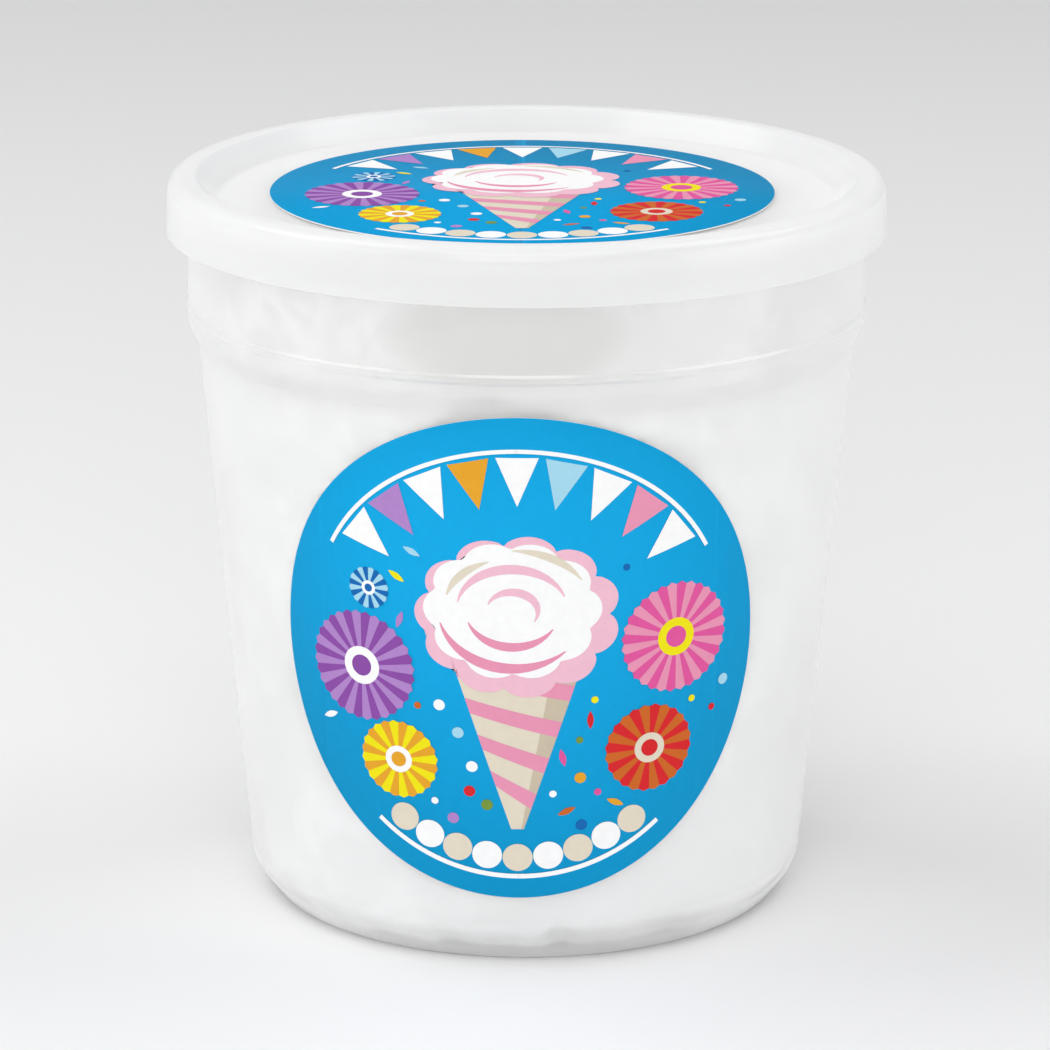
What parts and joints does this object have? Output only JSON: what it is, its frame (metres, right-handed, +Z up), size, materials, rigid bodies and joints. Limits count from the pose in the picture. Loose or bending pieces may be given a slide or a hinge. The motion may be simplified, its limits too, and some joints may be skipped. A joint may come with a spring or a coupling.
{
  "type": "tub of cotton candy",
  "caption": "Round translucent plastic tub with a push-on lid, shut and filled with white cotton candy, with round paper labels on its front and lid.",
  "frame": {"origin": "centre of the circle on which the tub stands", "axes": "+Z up along the tub's axis, -Y out through the middle of the front label, +X to the right of someone looking at that label"},
  "size_m": [0.1174, 0.1174, 0.1206],
  "materials": {
    "tub_plastic": "translucent, softly frosted",
    "lid_plastic": "translucent, milky",
    "spun_sugar": "matt, fibrous",
    "front_print": "printed, satin",
    "lid_print": "printed, satin"
  },
  "bodies": {
    "root": {"tub": "tub_plastic", "lid": "lid_plastic", "cotton_candy": "spun_sugar", "front_label": "front_print", "lid_label": "lid_print"}
  },
  "joints": []
}
